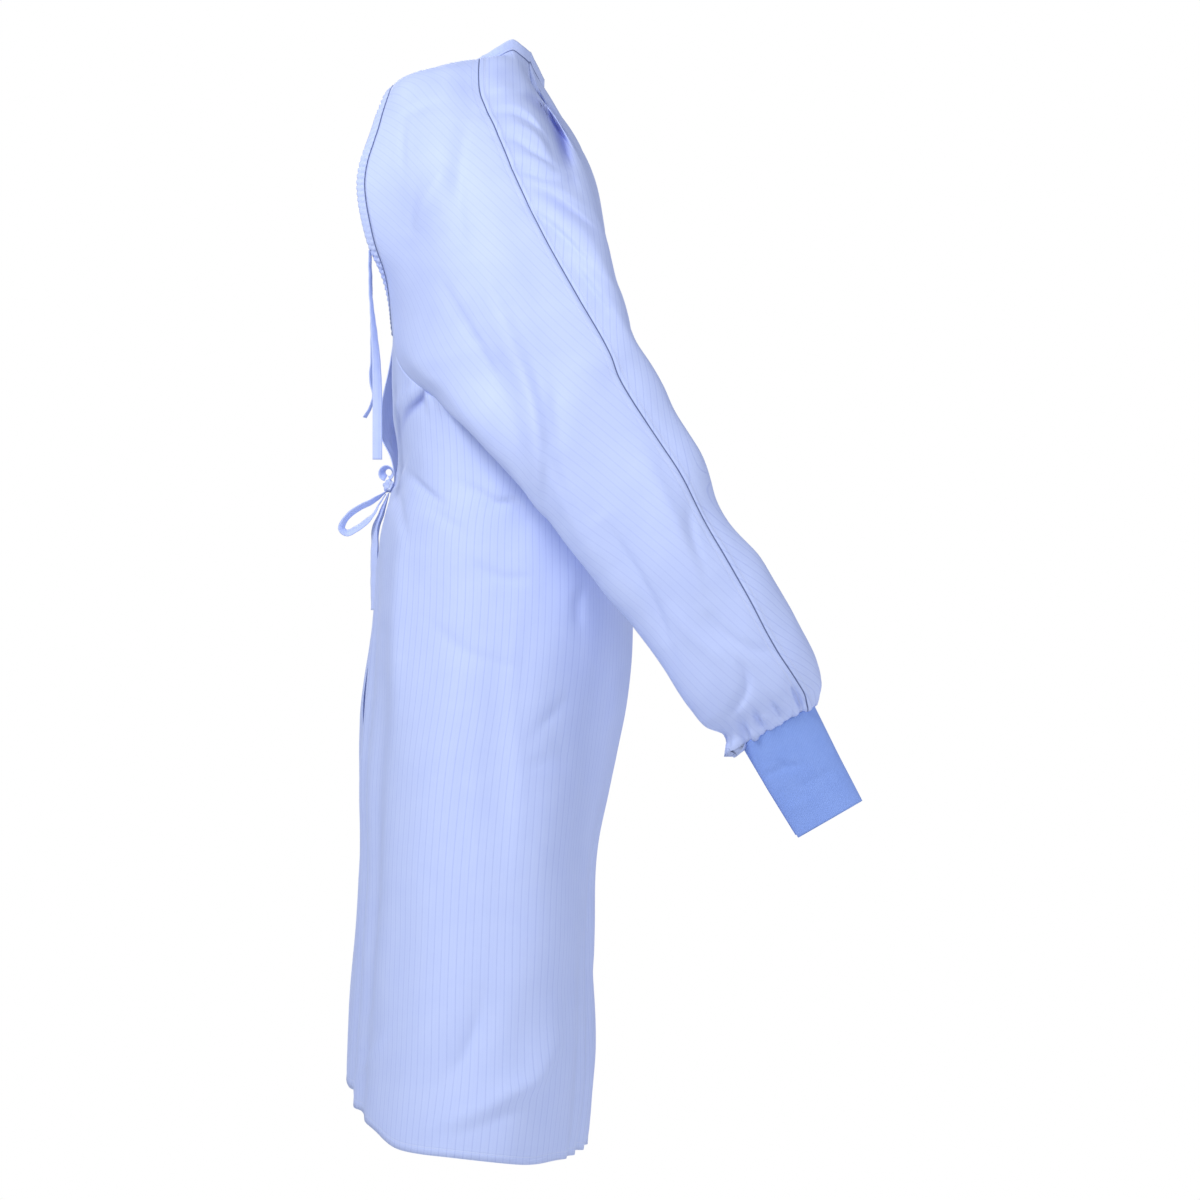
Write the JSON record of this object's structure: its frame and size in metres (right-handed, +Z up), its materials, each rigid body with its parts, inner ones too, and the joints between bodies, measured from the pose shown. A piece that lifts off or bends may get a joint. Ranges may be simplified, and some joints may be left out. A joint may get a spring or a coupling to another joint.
{
  "type": "open-back gown",
  "caption": "Worn, hollow open-back gown with raglan sleeves, knitted cuffs, bound back edges, neck band and a waist tie in a bow.",
  "frame": {"origin": "middle of the base of the wearer's neck, where the worn gown is held", "axes": "+Z up along the wearer, -Y the way the wearer faces, -X the wearer's right arm"},
  "size_m": [0.596, 0.5292, 1.1252],
  "materials": {
    "striped_cloth": "light blue woven polyester with fine darker pinstripes and a soft sheen",
    "knit_cuff": "mid-blue rib knit, matte",
    "tie_tape": "light blue cloth tape, soft sheen"
  },
  "bodies": {
    "root": {"body_panel": "striped_cloth", "bow_eye": "tie_tape", "bow_loop": "tie_tape", "bow_tail_left": "tie_tape", "bow_tail_right": "tie_tape", "cuff_left": "knit_cuff", "cuff_right": "knit_cuff", "edge_binding_left": "striped_cloth", "edge_binding_right": "striped_cloth", "neck_band": "striped_cloth", "sleeve_back_left": "striped_cloth", "sleeve_back_right": "striped_cloth", "sleeve_front_left": "striped_cloth", "sleeve_front_right": "striped_cloth", "upper_tie_left": "tie_tape", "upper_tie_right": "tie_tape", "waist_knot": "tie_tape", "waist_tie_left": "tie_tape", "waist_tie_right": "tie_tape"}
  },
  "joints": []
}
